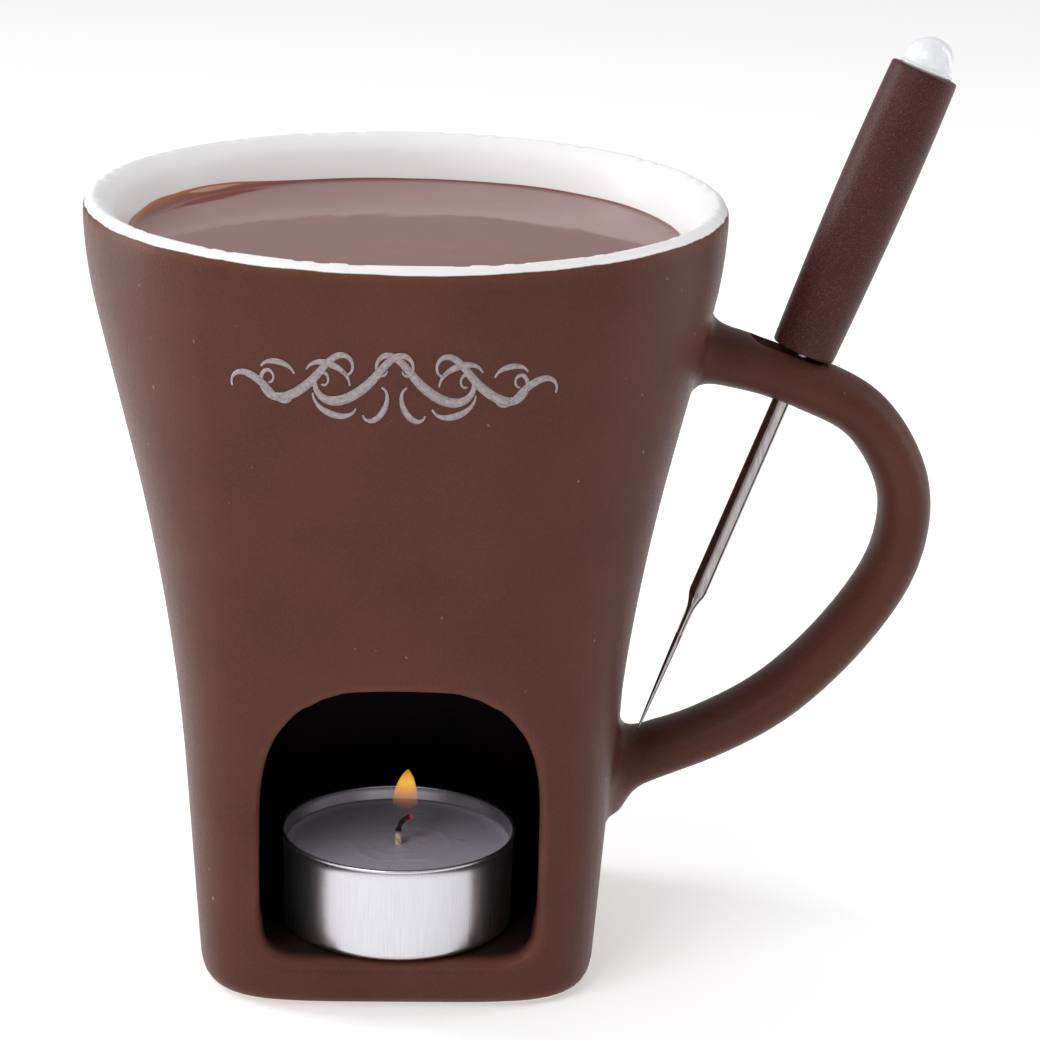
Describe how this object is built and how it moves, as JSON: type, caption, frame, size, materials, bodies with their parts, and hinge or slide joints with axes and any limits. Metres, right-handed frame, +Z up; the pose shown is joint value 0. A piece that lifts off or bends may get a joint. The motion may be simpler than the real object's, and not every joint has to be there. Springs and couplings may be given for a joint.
{
  "type": "fondue mug set",
  "caption": "Ceramic chocolate fondue mug with a tealight burner chamber under its bowl, a looped handle with a fork slot, and a fork.",
  "frame": {"origin": "centre of the mug's foot, on the surface it stands on", "axes": "+Z up along the mug's axis, -Y out of the burner window, +X towards the handle"},
  "size_m": [0.1371, 0.1016, 0.151],
  "materials": {
    "brown_glaze": "satin brown glaze, fine grain; glossy white glaze inside the bowl and over the lip",
    "chocolate": "melted milk chocolate, wet gloss",
    "tealight_aluminium": "bright drawn foil, faint vertical draw marks",
    "candle_wax": "paraffin wax, slightly translucent, molten around the wick",
    "wick_cotton": "braided cotton, charred at the top",
    "sustainer_tin": "tinned steel",
    "fork_steel": "polished stainless steel",
    "grip_plastic": "brown moulded plastic with a fine sparkle grain",
    "finial_plastic": "milky white plastic, slightly translucent",
    "printed_ornament": "silver-grey transfer print, satin",
    "flame_glow": "candle flame, glowing"
  },
  "bodies": {
    "mug": {"mug_body": "brown_glaze", "mug_handle": "brown_glaze", "melted_chocolate": "chocolate"},
    "tealight": {"tealight_cup": "tealight_aluminium", "tealight_wax": "candle_wax", "tealight_wick": "wick_cotton", "wick_sustainer": "sustainer_tin"},
    "fork": {"fork_shaft": "fork_steel", "fork_grip": "grip_plastic", "fork_finial": "finial_plastic"}
  },
  "joints": [
    {"name": "fork_lift", "type": "slide", "parent": "mug", "child": "fork", "axis": [0.3656, 0.0698, 0.9282], "range_m": [0, 0.075]},
    {"name": "tealight_slide", "type": "slide", "parent": "mug", "child": "tealight", "axis": [0, -1, 0], "range_m": [0, 0.06]}
  ]
}
